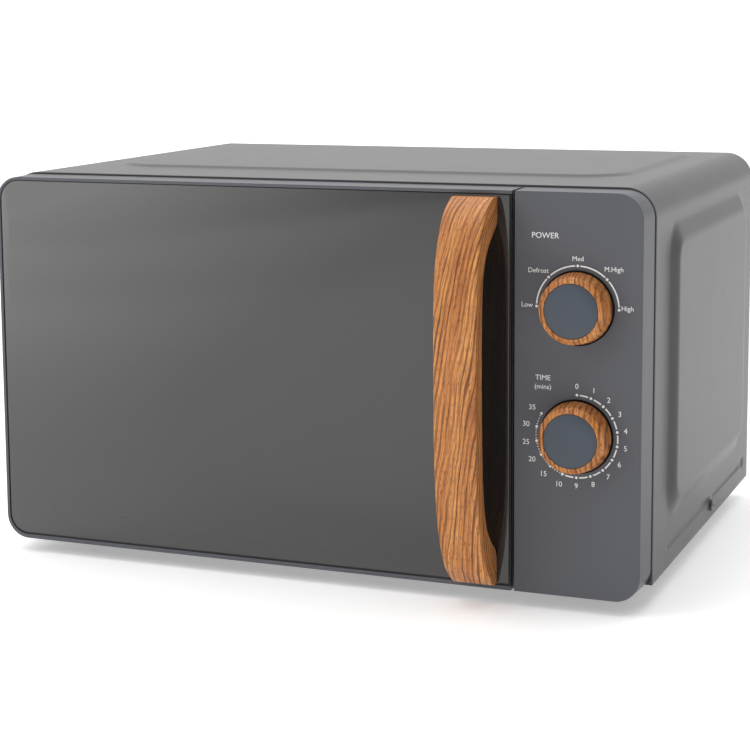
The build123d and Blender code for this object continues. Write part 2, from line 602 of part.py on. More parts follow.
# ---- power and cooling ----------------------------------------------------------------------
def magnetron_body():
    """Yoke, tube, filter box and antenna of the magnetron."""
    x0 = GUIDE[1] + 0.2
    yoke = block(x0, x0 + 55, TUBE_Y - 43, TUBE_Y + 43, TUBE_Z - 40, TUBE_Z + 40)
    yoke -= block(x0 + 1.5, x0 + 53.5, TUBE_Y - 50, TUBE_Y + 50, TUBE_Z - 38.5, TUBE_Z + 38.5)
    tube = rod_x(x0 + 1, x0 + 54, TUBE_Y, TUBE_Z, 19.0)
    magnets = rod_x(x0 + 1, x0 + 12, TUBE_Y, TUBE_Z, 27.0) + rod_x(x0 + 43, x0 + 54, TUBE_Y, TUBE_Z, 27.0)
    box = block(x0 + 55, x0 + 77, TUBE_Y - 32, TUBE_Y + 32, TUBE_Z - 32, TUBE_Z + 32)
    antenna = rod_x(x0 - 24, x0 + 1, TUBE_Y, TUBE_Z, 7.5) + rod_x(x0 - 14, x0 + 1, TUBE_Y, TUBE_Z, 10.0)
    return yoke + tube + magnets + box + antenna


def magnetron_fins():
    """Cooling plates pressed round the tube."""
    x0 = GUIDE[1] + 14.0
    fins = []
    for step in range(6):
        x = x0 + 5.0 * step
        fin = block(x, x + 0.8, TUBE_Y - 36, TUBE_Y + 36, TUBE_Z - 30, TUBE_Z + 30)
        fins.append(fin - rod_x(x - 1, x + 2, TUBE_Y, TUBE_Z, 19.0))
    return group(fins)


CORE = (114.0, 200.0, -58.0, -6.0, 19.2, 91.2)


def transformer_core():
    x0, x1, y0, y1, z0, z1 = CORE
    core = block(*CORE)
    for window in (x0 + 14, x1 - 30):
        core -= block(window, window + 16, y0 - 1, y1 + 1, z0 + 14, z1 - 14)
    return core + block(x0 - 6, x1 + 6, y0 + 4, y1 - 4, z0, z0 + 1.5)


def winding(z0, z1, spread):
    """Copper winding round the core's middle leg."""
    x0, x1, y0, y1 = CORE[:4]
    ring = extrude(flat_outline(x0 + 14.6, x1 - 14.6, y0 - spread, y1 + spread, 8, z0), amount=z1 - z0)
    return ring - block(x0 + 29.6, x1 - 29.6, y0 - 0.6, y1 + 0.6, z0 - 1, z1 + 1)


CAPACITOR = (112.0, 146.0, 70.0, 160.0, 22.0, 74.0)


def hv_capacitor():
    x0, x1, y0, y1, z0, z1 = CAPACITOR
    can = slab(x0, x1, z0, z1, y0, y1, 16)
    for z in (z0 + 16, z1 - 16):
        can += rod_y((x0 + x1) / 2, y0 - 8, y0, z, 5.0)
        can += block((x0 + x1) / 2 - 3, (x0 + x1) / 2 + 3, y0 - 18, y0 - 8, z - 0.4, z + 0.4)
    return can


def capacitor_clamp():
    x0, x1, y0, y1, z0, z1 = CAPACITOR
    band = slab(x0 - 1.2, x1 + 1.2, z0 - 1.2, z1 + 1.2, 106, 122, 17.2)
    band -= slab(x0, x1, z0, z1, 100, 128, 16)
    return band + block(x1 + 0.8, x1 + 16, 106, 122, 19.2, 20.8) + block(x1 + 0.2, x1 + 1.4, 106, 122, 19.2, 44)


def hv_diode():
    return rod_x(120, 142, 44, 30, 3.2) + rod_x(112, 150, 44, 30, 0.6)


BOARD = (164.0, 214.0, 78.0, 150.0, 28.0)


def filter_board():
    """Mains noise filter: board, choke, capacitor block and standoffs."""
    x0, x1, y0, y1, z = BOARD
    board = block(x0, x1, y0, y1, z, z + 1.6)
    board += rod_z(x0 + 18, y1 - 20, z + 1.6, z + 18, 14.0) - rod_z(x0 + 18, y1 - 20, z + 1.6, z + 20, 6.0)
    board += block(x0 + 4, x0 + 30, y0 + 6, y0 + 16, z + 1.6, z + 20)
    for x in (x0 + 5, x1 - 5):
        for y in (y0 + 3, y1 - 3):
            board += rod_z(x, y, 19.2, z, 2.5)
    for y in (y0 + 27.5, y0 + 44.5):
        board += block(x1 - 14, x1 - 6, y, y + 3, z + 1.6, z + 6.4)
    return board


def mains_fuse():
    x, z = BOARD[1] - 10, BOARD[4] + 10.0
    return rod_y(x, BOARD[2] + 26, BOARD[2] + 49, z, 3.2)


def thermal_cutout():
    return rod_x(CAVITY[1] + 1.2, CAVITY[1] + 8, -70, 205, 8.0) + block(CAVITY[1] + 1.2, CAVITY[1] + 2.2,
                                                                         -84, -56, 200, 210)


def lamp_holder():
    """Hood and socket outside the cavity wall."""
    x0 = CAVITY[1] + 1.2
    y, z = LAMP
    hood = block(x0, x0 + 34, y - 20, y + 20, z - 14, z + 14)
    hood -= block(x0 - 1, x0 + 33, y - 19, y + 19, z - 13, z + 13)
    return hood + rod_y(x0 + 17, y + 8, y + 19.5, z, 8.0)


def lamp_bulb():
    x = CAVITY[1] + 1.2 + 17
    y, z = LAMP
    glass = Pos(x, y - 5, z) * Sphere(9.0)
    return glass + rod_y(x, y - 2, y + 7.8, z, 6.5)


SHROUD_Y = 126.0


def fan_shroud():
    """Plate with a ring round the fan and a bar that carries the motor."""
    plate = block(102, 219, SHROUD_Y, SHROUD_Y + 2, 98, 226)
    plate -= rod_y(FAN_X, SHROUD_Y - 1, SHROUD_Y + 3, FAN_Z, FAN_R + 2)
    plate += ring_y(FAN_X, SHROUD_Y, SHROUD_Y + 22, FAN_Z, FAN_R + 4, FAN_R + 2)
    plate += block(FAN_X - FAN_R - 3, FAN_X + FAN_R + 3, SHROUD_Y + 20, SHROUD_Y + 22, FAN_Z - 9, FAN_Z + 9)
    return plate - rod_y(FAN_X, SHROUD_Y + 10, SHROUD_Y + 30, FAN_Z, 6.0)


def fan_motor():
    """Shaded-pole motor behind the fan."""
    y0 = SHROUD_Y + 22.2
    motor = block(FAN_X - 24, FAN_X + 24, y0 + 4, y0 + 20, FAN_Z - 18, FAN_Z + 30)
    motor += rod_y(FAN_X, y0, y0 + 28, FAN_Z, 14.0)
    motor += block(FAN_X - 12, FAN_X + 12, y0 + 1, y0 + 25, FAN_Z + 16, FAN_Z + 34)
    return motor - rod_y(FAN_X, y0 - 1, y0 + 22, FAN_Z, 2.0 + RUNNING)


def fan_blade():
    """Five-bladed fan on its steel shaft."""
    y0 = SHROUD_Y + 3
    fan = rod_y(0, y0, y0 + 14, 0, 11.0)
    for step in range(5):
        blade = Pos(28, y0 + 7, 0) * Rot(32, 0, 0) * Box(44, 1.6, 24)
        fan += Rot(0, 72 * step, 0) * blade
    fan &= rod_y(0, y0, y0 + 14, 0, FAN_R)
    fan += rod_y(0, y0 + 14, SHROUD_Y + 42, 0, 2.0)
    return Pos(FAN_X, 0, FAN_Z) * fan


def air_duct():
    """Duct from the magnetron's cooling plates to the cavity wall."""
    x0, x1 = CAVITY[1] + 1.4, 196.0
    y0, y1 = -44.0, 20.0
    z0, z1 = TUBE_Z - 40, TUBE_Z + 36
    duct = block(x0, x1, y0, y1, z0, z1)
    duct -= block(x0 - 1, x1 - 1.6, y0 + 1.6, y1 + 1, z0 + 1.6, z1 - 1.6)
    return duct


# ---- all the pieces -------------------------------------------------------------------------
def pieces():
    power, timer = DIAL_LEVELS["power"], DIAL_LEVELS["timer"]
    lower, upper = HINGE_LEVELS
    nodes = {
        "outer_cabinet": outer_cabinet(), "side_screws": side_screws(), "rear_screws": rear_screws(),
        "base_plate": base_plate(), "feet": feet(), "rear_panel": rear_panel(),
        "cable_gland": cable_gland(), "front_frame": front_frame(), "oven_cavity": oven_cavity(),
        "waveguide": waveguide(), "waveguide_cover": waveguide_cover(),
        "turntable_motor": turntable_motor(), "drive_coupler": drive_coupler(),
        "glass_tray": glass_tray(), "roller_ring": roller_ring(),
        "control_panel": control_panel(), "door_glass": door_glass(), "door_frame": door_frame(),
        "door_inner_panel": door_inner_panel(), "door_screen": door_screen(),
        "choke_cover": choke_cover(), "door_handle": door_handle(), "handle_screws": handle_screws(),
        "lower_hinge": hinge_plate(lower, 24, 46), "upper_hinge": hinge_plate(upper, 224, 246),
        "latch_hooks": latch_hooks(), "latch_spring": latch_spring(), "latch_board": latch_board(),
        "door_switches": door_switches(),
        "power_knob": knob(power), "power_knob_cap": knob_cap(power), "power_spindle": spindle(power),
        "timer_knob": knob(timer), "timer_knob_cap": knob_cap(timer), "timer_spindle": spindle(timer),
        "timer_unit": timer_unit(), "timer_bell": timer_bell(),
        "magnetron_body": magnetron_body(), "magnetron_fins": magnetron_fins(),
        "transformer_core": transformer_core(),
        "primary_winding": winding(CORE[4] + 15, CORE[4] + 35, 14),
        "secondary_winding": winding(CORE[4] + 37, CORE[4] + 57, 17),
        "hv_capacitor": hv_capacitor(), "capacitor_clamp": capacitor_clamp(), "hv_diode": hv_diode(),
        "filter_board": filter_board(), "mains_fuse": mains_fuse(), "thermal_cutout": thermal_cutout(),
        "lamp_holder": lamp_holder(), "lamp_bulb": lamp_bulb(),
        "fan_shroud": fan_shroud(), "fan_motor": fan_motor(), "fan_blade": fan_blade(),
        "air_duct": air_duct(),
    }
    for number, angle in enumerate(ROLLER_ANGLES, 1):
        nodes[f"tray_roller_{number}"] = tray_roller(angle)
    for number, level in enumerate(SWITCH_LEVELS, 1):
        nodes[f"switch_plunger_{number}"] = switch_plunger(level)
    return nodes


os.makedirs("parts", exist_ok=True)
for name, piece in pieces().items():
    export_step(piece, f"parts/{name}.step")
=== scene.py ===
import math

import bmesh
import bpy
from mathutils import Matrix, Vector


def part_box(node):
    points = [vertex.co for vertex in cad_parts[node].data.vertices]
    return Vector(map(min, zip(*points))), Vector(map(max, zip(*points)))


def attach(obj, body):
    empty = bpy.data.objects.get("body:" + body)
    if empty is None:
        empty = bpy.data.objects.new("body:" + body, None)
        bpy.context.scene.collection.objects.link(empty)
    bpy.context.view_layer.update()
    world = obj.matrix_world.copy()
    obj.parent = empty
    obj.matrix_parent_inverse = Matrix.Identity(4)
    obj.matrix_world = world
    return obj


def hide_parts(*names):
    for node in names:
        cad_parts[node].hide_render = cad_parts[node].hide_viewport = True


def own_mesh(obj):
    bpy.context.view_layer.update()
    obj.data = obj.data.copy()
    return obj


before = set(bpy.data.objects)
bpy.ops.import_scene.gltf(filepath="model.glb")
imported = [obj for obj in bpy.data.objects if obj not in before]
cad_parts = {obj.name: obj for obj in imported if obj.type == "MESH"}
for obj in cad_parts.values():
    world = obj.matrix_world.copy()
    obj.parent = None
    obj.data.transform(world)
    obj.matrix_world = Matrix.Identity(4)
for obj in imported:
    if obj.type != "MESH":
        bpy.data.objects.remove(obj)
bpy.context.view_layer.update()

MM = 0.001

# ---- places taken from the CAD nodes ------------------------------------------------------------
GLASS_LOW, GLASS_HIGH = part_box("door_glass")
FACE_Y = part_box("control_panel")[0].y
HANDLE_LOW, HANDLE_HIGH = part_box("door_handle")
CABINET_LOW, CABINET_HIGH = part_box("outer_cabinet")


def middle(node):
    """Centre of a CAD node's box."""
    low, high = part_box(node)
    return (low + high) / 2


# ---- procedural finishes ------------------------------------------------------------------------
class Term:
    """A value or colour that varies over a surface, and takes arithmetic."""

    def __init__(self, finish, socket):
        self.finish = finish
        self.socket = socket

    def maths(self, operation, first, second):
        return self.finish.node("ShaderNodeMath", {"operation": operation}, {0: first, 1: second})

    def __add__(self, other):
        return self.maths("ADD", self, other)

    def __radd__(self, other):
        return self.maths("ADD", other, self)

    def __sub__(self, other):
        return self.maths("SUBTRACT", self, other)

    def __rsub__(self, other):
        return self.maths("SUBTRACT", other, self)

    def __mul__(self, other):
        return self.maths("MULTIPLY", self, other)

    def __rmul__(self, other):
        return self.maths("MULTIPLY", other, self)

    def __abs__(self):
        return self.maths("ABSOLUTE", self, 0.0)

    def below(self, limit):
        return self.maths("LESS_THAN", self, limit)

    def above(self, limit):
        return self.maths("GREATER_THAN", self, limit)

    def fraction(self):
        return self.maths("FRACT", self, 0.0)

    def sine(self):
        return self.maths("SINE", self, 0.0)

    def root(self):
        return self.maths("SQRT", self, 0.0)


class Finish:
    """One procedural material round a Principled shader. Constants go on the shader's own sockets."""

    def __init__(self, name, **constants):
        self.material = bpy.data.materials.new(name)
        self.material.use_nodes = True
        self.tree = self.material.node_tree
        self.shader = next(n for n in self.tree.nodes if n.type == "BSDF_PRINCIPLED")
        for socket, value in constants.items():
            self.shader.inputs[socket.replace("_", " ")].default_value = value

    def node(self, kind, settings=None, values=None, output=0):
        """Adds a node, with its settings first and then the values or links of its sockets."""
        made = self.tree.nodes.new(kind)
        for name, value in (settings or {}).items():
            if name == "stops":
                self.set_stops(made.color_ramp, value)
            else:
                setattr(made, name, value)
        for socket, value in (values or {}).items():
            if isinstance(value, Term):
                self.tree.links.new(value.socket, made.inputs[socket])
            else:
                made.inputs[socket].default_value = value
        return Term(self, made.outputs[output])

    def set_stops(self, ramp, stops):
        while len(ramp.elements) < len(stops):
            ramp.elements.new(0.5)
        for element, (place, level) in zip(ramp.elements, stops):
            element.position = place
            element.color = (level, level, level, 1)

    def place(self, scale=(1, 1, 1), turn=(0, 0, 0), source=None):
        """Position on the piece, in metres, stretched and turned."""
        start = source or self.node("ShaderNodeTexCoord", output="Object")
        return self.node("ShaderNodeMapping", None, {"Vector": start, "Rotation": turn, "Scale": scale})

    def noise(self, place, scale, detail=2.0, roughness=0.5, distortion=0.0):
        return self.node("ShaderNodeTexNoise", None,
                         {"Vector": place, "Scale": scale, "Detail": detail, "Roughness": roughness,
                          "Distortion": distortion})

    def ramp(self, term, *stops):
        return self.node("ShaderNodeValToRGB", {"stops": stops}, {0: term})

    def parts(self, place):
        """The X, Y and Z of a position."""
        split = self.tree.nodes.new("ShaderNodeSeparateXYZ")
        self.tree.links.new(place.socket, split.inputs[0])
        return [Term(self, socket) for socket in split.outputs]

    def vector(self, x, y, z):
        return self.node("ShaderNodeCombineXYZ", None, {0: x, 1: y, 2: z})

    def blend(self, share, first, second, mode="MIX"):
        """Colour between two others."""
        first, second = (c if isinstance(c, Term) else (*c, 1) for c in (first, second))
        return self.node("ShaderNodeMix", {"data_type": "RGBA", "blend_type": mode},
                         {0: share, 6: first, 7: second}, output=2)

    def feed(self, **terms):
        for socket, term in terms.items():
            self.tree.links.new(term.socket, self.shader.inputs[socket.replace("_", " ")])

    def bump(self, height, strength, depth):
        """Relief: depth is in metres."""
        self.feed(Normal=self.node("ShaderNodeBump", None, {"Height": height, "Strength": strength,
                                                            "Distance": depth}))


def tone(r, g, b):
    """Colour from screen values of 0 to 255."""
    return tuple(((v / 255 + 0.055) / 1.055) ** 2.4 if v > 10 else v / 255 / 12.92 for v in (r, g, b))


def grained(name, dark, light, roughness, grain_scale, grain_depth, cloud_scale=14.0, spread=0.08,
            **constants):
    """Plain moulding or paint: soft mottling in colour and gloss over a fine grain."""
    finish = Finish(name, **constants)
    place = finish.place()
    cloud = finish.ramp(finish.noise(place, cloud_scale, 3.0), (0.3, 0.0), (0.7, 1.0))
    grain = finish.noise(place, grain_scale, 2.0, 0.6)
    finish.feed(Base_Color=finish.blend(cloud, dark, light),
                Roughness=roughness - spread / 2 + spread * finish.noise(place, cloud_scale * 6, 2.0))
    finish.bump(grain, 0.6, grain_depth)
    return finish.material


def rolled_steel(name, dark, light, roughness, along=(1, 1, 60), metallic=1.0):
    """Sheet metal with rolling marks along one direction and faint spangle."""
    finish = Finish(name, Metallic=metallic)
    streak = finish.noise(finish.place(along), 40.0, 4.0, 0.6)
    cell = finish.node("ShaderNodeTexVoronoi", {"feature": "F1"},
                       {"Vector": finish.place(), "Scale": 190.0}, output="Color")
    spangle, _, _ = finish.parts(cell)
    share = finish.ramp(0.6 * streak + 0.4 * spangle, (0.25, 0.0), (0.75, 1.0))
    finish.feed(Base_Color=finish.blend(share, dark, light), Roughness=roughness + 0.14 * streak)
    finish.bump(streak, 0.3, 0.00004)
    return finish.material


GRAIN_LINES = 2 * math.pi / (3.1 * MM)     # spacing of the growth lines in the printed wood
GRAIN_SLANT = 0.17                         # how far the lines lean across for each unit along
HONEY, CHESTNUT = (224, 156, 88), (194, 122, 64)
FINE_STREAK, GROWTH_LINE, PORE = (140, 80, 42), (86, 43, 24), (84, 44, 28)


def wood_effect():
    """Printed wood grain: slanting growth lines, broad tone bands and short dark pores."""
    finish = Finish("wood_effect_film", Specular_IOR_Level=0.3)
    start = finish.node("ShaderNodeAttribute", {"attribute_name": "grain_place"}, output="Vector")
    across, along, depth = finish.parts(start)
    drift = finish.noise(finish.vector(across * 45.0, along * 11.0, depth * 45.0), 1.0, 2.0) - 0.5
    wavy = across + 0.009 * drift - GRAIN_SLANT * along
    broad = finish.noise(finish.vector(wavy * 120.0, along * 6.0, depth * 120.0), 1.0, 2.0, 0.55)
    fine = finish.noise(finish.vector(wavy * 1300.0, along * 60.0, depth * 1300.0), 1.0, 3.0, 0.6)
    ring = (wavy * GRAIN_LINES + 1.6 * broad).sine() * 0.5 + 0.5
    patch = finish.noise(finish.vector(wavy * 300.0, along * 16.0, depth * 300.0), 1.0, 2.0)
    fade = finish.ramp(patch, (0.36, 0.15), (0.60, 1.0))
    line = finish.ramp(ring + 0.5 * (fine - 0.5), (0.42, 0.0), (0.98, 1.0)) * fade
    dash = finish.noise(finish.vector(wavy * 3600.0, along * 260.0, depth * 3600.0), 1.0, 1.0)
    pore = finish.ramp(dash, (0.60, 0.0), (0.68, 1.0))
    body = finish.blend(finish.ramp(broad, (0.38, 0.0), (0.64, 1.0)), tone(*HONEY), tone(*CHESTNUT))
    body = finish.blend(0.60 * finish.ramp(fine, (0.42, 0.0), (0.60, 1.0)), body, tone(*FINE_STREAK))
    body = finish.blend(0.85 * line, body, tone(*GROWTH_LINE))
    body = finish.blend(0.85 * pore, body, tone(*PORE))
    finish.feed(Base_Color=body, Roughness=0.36 + 0.16 * line + 0.10 * fine)
    finish.bump(1.0 - (0.5 * line + 0.5 * pore), 0.3, 0.00006)
    return finish.material


# Centre of the painted reflection on the door glass, in metres.
PAINTED_REFLECTION_CENTRE_X = -60 * MM
PAINTED_REFLECTION_CENTRE_Z = 135 * MM


def mirror_glass():
    """Smoked mirror glass: dark glass under a painted reflection, palest at its upper left, behind a
    slightly wavy polished face.
    """
    finish = Finish("smoked_mirror_glass", IOR=1.7)
    place = finish.place()
    x, _, z = finish.parts(place)
    rise = z - PAINTED_REFLECTION_CENTRE_Z
    aside = x - PAINTED_REFLECTION_CENTRE_X
    # Painted reflection: the glass's colour is lightened towards the upper left and darkened towards the
    # lower right, in place of the studio's reflection.
    painted_reflection = (-2.1 * aside + 2.2 * rise + 30.0 * rise * rise - 16.0 * aside * rise - 0.06
                + 0.10 * finish.noise(place, 3.0, 2.0))
    smear = finish.noise(finish.place((1, 1, 0.35)), 24.0, 4.0)
    finish.feed(Base_Color=finish.blend(painted_reflection, (0.013, 0.0128, 0.0126), (0.120, 0.120, 0.119)),
                Roughness=0.055 + 0.05 * smear)
    finish.bump(finish.noise(place, 6.0, 1.0), 0.05, 0.0004)
    return finish.material


def clear_glass(name, tint):
    """Clear moulded glass with a faint wave in its surface."""
    finish = Finish(name, Transmission_Weight=0.92, IOR=1.5)
    wave = finish.noise(finish.place(), 60.0, 2.0)
    finish.feed(Base_Color=finish.blend(wave, tint, tuple(c * 0.93 for c in tint)),
                Roughness=0.03 + 0.05 * wave)
    finish.bump(wave, 0.2, 0.0003)
    return finish.material


HOLE_PITCH = 3.4 * MM
ROW_PITCH = HOLE_PITCH * math.cos(math.radians(30))
HOLE_RADIUS = 0.34          # as a share of the pitch


def punched_screen():
    """Dark steel sheet with staggered rows of round holes."""
    finish = Finish("punched_screen_black", Metallic=0.4)
    x, _, z = finish.parts(finish.place())
    row = z * (1 / ROW_PITCH)
    odd = (row * 0.5).fraction().above(0.5)
    across = (x * (1 / HOLE_PITCH) + 0.5 * odd).fraction() - 0.5
    down = row.fraction() - 0.5
    away = (across * across + down * down * (ROW_PITCH / HOLE_PITCH) ** 2).root()
    hole = away.below(HOLE_RADIUS)
    smudge = finish.noise(finish.place(), 30.0, 3.0)
    finish.feed(Base_Color=finish.blend(smudge, (0.02, 0.02, 0.022), (0.045, 0.045, 0.048)),
                Roughness=0.35 + 0.2 * smudge, Alpha=1.0 - hole)
    return finish.material


def wound_copper():
    """Layers of enamelled wire, one turn beside the next."""
    finish = Finish("wound_copper_wire", Metallic=0.85)
    _, _, z = finish.parts(finish.place())
    turn = abs((z * 1400.0).fraction() - 0.5) * 2.0
    lacquer = finish.noise(finish.place(), 60.0, 3.0)
    finish.feed(Base_Color=finish.blend(lacquer, (0.42, 0.13, 0.035), (0.60, 0.22, 0.07)),
                Roughness=0.3 + 0.2 * lacquer)
    finish.bump(turn, 0.8, 0.0005)
    return finish.material


def laminations():
    """Stacked transformer steel, seen edge on, under dull varnish."""
    finish = Finish("varnished_laminations", Metallic=0.5)
    _, y, _ = finish.parts(finish.place())
    leaf = abs((y * 1500.0).fraction() - 0.5) * 2.0
    varnish = finish.noise(finish.place(), 35.0, 4.0)
    finish.feed(Base_Color=finish.blend(varnish, (0.05, 0.045, 0.042), (0.12, 0.105, 0.095)),
                Roughness=0.45 + 0.25 * varnish)
    finish.bump(leaf, 0.5, 0.0003)
    return finish.material


FRONT_GREY = grained("front_moulding_grey", (0.107, 0.110, 0.124), (0.113, 0.116, 0.130), 0.36, 2400.0,
                     0.00002, spread=0.04, Specular_IOR_Level=0.13)
CABINET_GREY = grained("stoved_cabinet_grey", (0.070, 0.066, 0.070), (0.075, 0.071, 0.075), 0.32, 900.0,
                       0.000006, cloud_scale=9.0, spread=0.03, Specular_IOR_Level=0.15,
                       Specular_Tint=(1.0, 0.94, 0.97, 1))
WOOD = wood_effect()
SLATE = grained("slate_cap_satin", (0.045, 0.058, 0.078), (0.050, 0.063, 0.084), 0.46, 2600.0, 0.00002)
MIRROR = mirror_glass()
PRINT_WHITE = grained("print_white", (0.80, 0.81, 0.80), (0.88, 0.88, 0.87), 0.55, 3000.0, 0.00001)
BLACK = grained("black_moulding", (0.010, 0.010, 0.011), (0.016, 0.016, 0.017), 0.45, 1800.0, 0.00004)
# Near-black, rough and barely glossy: painted shadow, used for the ring round each knob's base.
PAINTED_SHADOW_BLACK = grained("painted_shadow_black", (0.003, 0.003, 0.003), (0.005, 0.005, 0.005), 0.85, 1800.0,
                       0.00002, Specular_IOR_Level=0.1)
CHOKE_BLACK = grained("choke_moulding_black", (0.014, 0.014, 0.015), (0.022, 0.022, 0.024), 0.30, 1500.0,
                      0.00003)
FRAME_PAINT = grained("frame_paint_grey", (0.16, 0.16, 0.165), (0.19, 0.19, 0.195), 0.38, 800.0, 0.00006)
ENAMEL = grained("cavity_enamel_pale", (0.56, 0.57, 0.57), (0.64, 0.645, 0.64), 0.33, 700.0, 0.00008)
NYLON = grained("white_nylon", (0.70, 0.69, 0.64), (0.78, 0.77, 0.73), 0.42, 1400.0, 0.00003)
RUBBER = grained("black_rubber", (0.018, 0.018, 0.018), (0.032, 0.031, 0.030), 0.80, 900.0, 0.0001)
MICA = grained("mica_sheet", (0.42, 0.34, 0.24), (0.60, 0.52, 0.40), 0.30, 260.0, 0.00008,
               cloud_scale=60.0)
BOARD = grained("circuit_board_tan", (0.34, 0.24, 0.08), (0.42, 0.30, 0.11), 0.40, 900.0, 0.00004)
CERAMIC = grained("fuse_ceramic_white", (0.72, 0.70, 0.65), (0.80, 0.78, 0.74), 0.25, 600.0, 0.00003)
GALVANISED = rolled_steel("galvanised_sheet", (0.34, 0.35, 0.36), (0.46, 0.47, 0.48), 0.34)
DARK_SCREW = rolled_steel("painted_screw", (0.10, 0.098, 0.10), (0.17, 0.167, 0.17), 0.34, (1, 1, 1),
                          metallic=0.5)
ZINC = rolled_steel("zinc_plated_screw", (0.46, 0.47, 0.49), (0.66, 0.67, 0.69), 0.24, (1, 1, 1))
SPRING_WIRE = rolled_steel("spring_wire", (0.34, 0.34, 0.36), (0.50, 0.50, 0.52), 0.26, (1, 1, 1))
ALUMINIUM = rolled_steel("plain_aluminium", (0.62, 0.63, 0.64), (0.80, 0.81, 0.82), 0.28, (1, 40, 1))
TRAY_GLASS = clear_glass("clear_tray_glass", (0.86, 0.94, 0.93))
LAMP_GLASS = clear_glass("clear_lamp_glass", (0.96, 0.95, 0.88))
SCREEN = punched_screen()
COPPER = wound_copper()
CORE = laminations()

NODE_FINISH = {
    CABINET_GREY: ("outer_cabinet",),
    FRONT_GREY: ("control_panel", "door_frame"),
    MIRROR: ("door_glass",),
    WOOD: ("door_handle", "power_knob", "timer_knob"),
    SLATE: ("power_knob_cap", "timer_knob_cap"),
    ZINC: ("rear_screws", "handle_screws"),
    DARK_SCREW: ("side_screws",),
    GALVANISED: ("base_plate", "rear_panel", "waveguide", "lower_hinge", "upper_hinge", "turntable_motor",
                 "timer_bell", "magnetron_body", "capacitor_clamp", "lamp_holder", "fan_shroud"),
    FRAME_PAINT: ("front_frame",),
    ENAMEL: ("oven_cavity", "door_inner_panel"),
    SCREEN: ("door_screen",),
    CHOKE_BLACK: ("choke_cover",),
    NYLON: ("latch_hooks", "latch_board", "drive_coupler", "roller_ring", "timer_unit", "fan_blade",
            "tray_roller_1", "tray_roller_2", "tray_roller_3",
            "switch_plunger_1", "switch_plunger_2", "switch_plunger_3"),
    BLACK: ("cable_gland", "door_switches", "air_duct", "thermal_cutout", "hv_diode"),
    RUBBER: ("feet",),
    MICA: ("waveguide_cover",),
    SPRING_WIRE: ("latch_spring",),
    ALUMINIUM: ("power_spindle", "timer_spindle", "magnetron_fins", "hv_capacitor"),
    COPPER: ("primary_winding", "secondary_winding"),
    CORE: ("transformer_core", "fan_motor"),
    BOARD: ("filter_board",),
    CERAMIC: ("mains_fuse",),
    TRAY_GLASS: ("glass_tray",),
    LAMP_GLASS: ("lamp_bulb",),
}


def paint(piece, *materials):
    piece.data.materials.clear()
    for material in materials:
        piece.data.materials.append(material)


def paint_nodes():
    for material, names in NODE_FINISH.items():
        for name in names:
            paint(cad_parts[name], material)


# ---- making pieces ------------------------------------------------------------------------------
def piece_from(name, points, faces, material, body, slot, *replaced, smooth=True):
    """A new piece from points in metres and faces of point numbers, riding on a CAD body."""
    mesh = bpy.data.meshes.new(name)
    mesh.from_pydata([tuple(p) for p in points], [], faces)
    mesh.validate()
    piece = bpy.data.objects.new(name, mesh)
    bpy.context.scene.collection.objects.link(piece)
    return settle(piece, material, body, slot, *replaced, smooth=smooth)


def settle(piece, material, body, slot, *replaced, smooth=True):
    """Finish, body and replaced nodes of a piece that is in place; the slot is not used."""
    work = bmesh.new()
    work.from_mesh(piece.data)
    bmesh.ops.recalc_face_normals(work, faces=work.faces)
    for face in work.faces:
        face.smooth = smooth
    work.to_mesh(piece.data)
    work.free()
    if material is not None:
        paint(piece, *(material if isinstance(material, (list, tuple)) else [material]))
    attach(piece, body)
    if replaced:
        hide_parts(*replaced)
    return piece


def sharpen(piece, angle=35.0):
    """Keeps real corners crisp under smooth shading."""
    work = bmesh.new()
    work.from_mesh(piece.data)
    limit = math.radians(angle)
    for edge in work.edges:
        edge.smooth = len(edge.link_faces) == 2 and edge.calc_face_angle(0.0) < limit
    work.to_mesh(piece.data)
    work.free()


CORNER_ANGLE = math.radians(32)     # edges that turn more than this are rounded off
FLAT_ANGLE = math.radians(0.6)      # faces that turn less than this are joined
WELD = 0.004 * MM


def softened(node, material, body, slot, width, segments=2):
    """The CAD node's shape with its flat faces joined and its edges rounded off."""
    mesh = bpy.data.meshes.new(node + "_shape")
    work = bmesh.new()
    work.from_mesh(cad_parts[node].data)
    bmesh.ops.remove_doubles(work, verts=work.verts, dist=WELD)
    bmesh.ops.dissolve_limit(work, angle_limit=FLAT_ANGLE, verts=work.verts, edges=work.edges)
    sharp = [e for e in work.edges if len(e.link_faces) == 2 and e.calc_face_angle(0.0) > CORNER_ANGLE]
    bmesh.ops.bevel(work, geom=sharp, offset=width, segments=segments, profile=0.5, affect="EDGES",
                    clamp_overlap=True, offset_type="OFFSET")
    work.to_mesh(mesh)
    work.free()
    piece = bpy.data.objects.new(node + "_rounded", mesh)
    bpy.context.scene.collection.objects.link(piece)
    settle(piece, material, body, slot, node)
    piece.modifiers.new("even_shading", "WEIGHTED_NORMAL").keep_sharp = False


def lofted(rings, close_first=False, close_last=False, wrap=False):
    """Points and faces of a skin over rings that have the same number of points."""
    count = len(rings[0])
    points = [p for ring in rings for p in ring]
    faces = []
    spans = len(rings) if wrap else len(rings) - 1
    for row in range(spans):
        this, upper = row * count, (row + 1) % len(rings) * count
        for step in range(count):
            after = (step + 1) % count
            faces.append((this + step, this + after, upper + after, upper + step))
    if close_first:
        faces.append(tuple(reversed(range(count))))
    if close_last:
        faces.append(tuple((len(rings) - 1) * count + step for step in range(count)))
    return points, faces


def turned(section, centre, segments):
    """Points and faces of a solid turned from (radius, height) pairs about a Y axis through centre."""
    turns = [2 * math.pi * step / segments for step in range(segments)]
    rings = []
    for radius, height in section:
        rings.append([centre + Vector((radius * math.cos(a), height, radius * math.sin(a))) for a in turns])
    return lofted(rings, close_first=True, close_last=True)


def between(p, q, r, s, t):
    """Smooth curve from q to r, led by the values before and after them."""
    curve = (2 * p - 5 * q + 4 * r - s) * t * t + (3 * q - p - 3 * r + s) * t ** 3
    return 0.5 * (2 * q + (r - p) * t + curve)


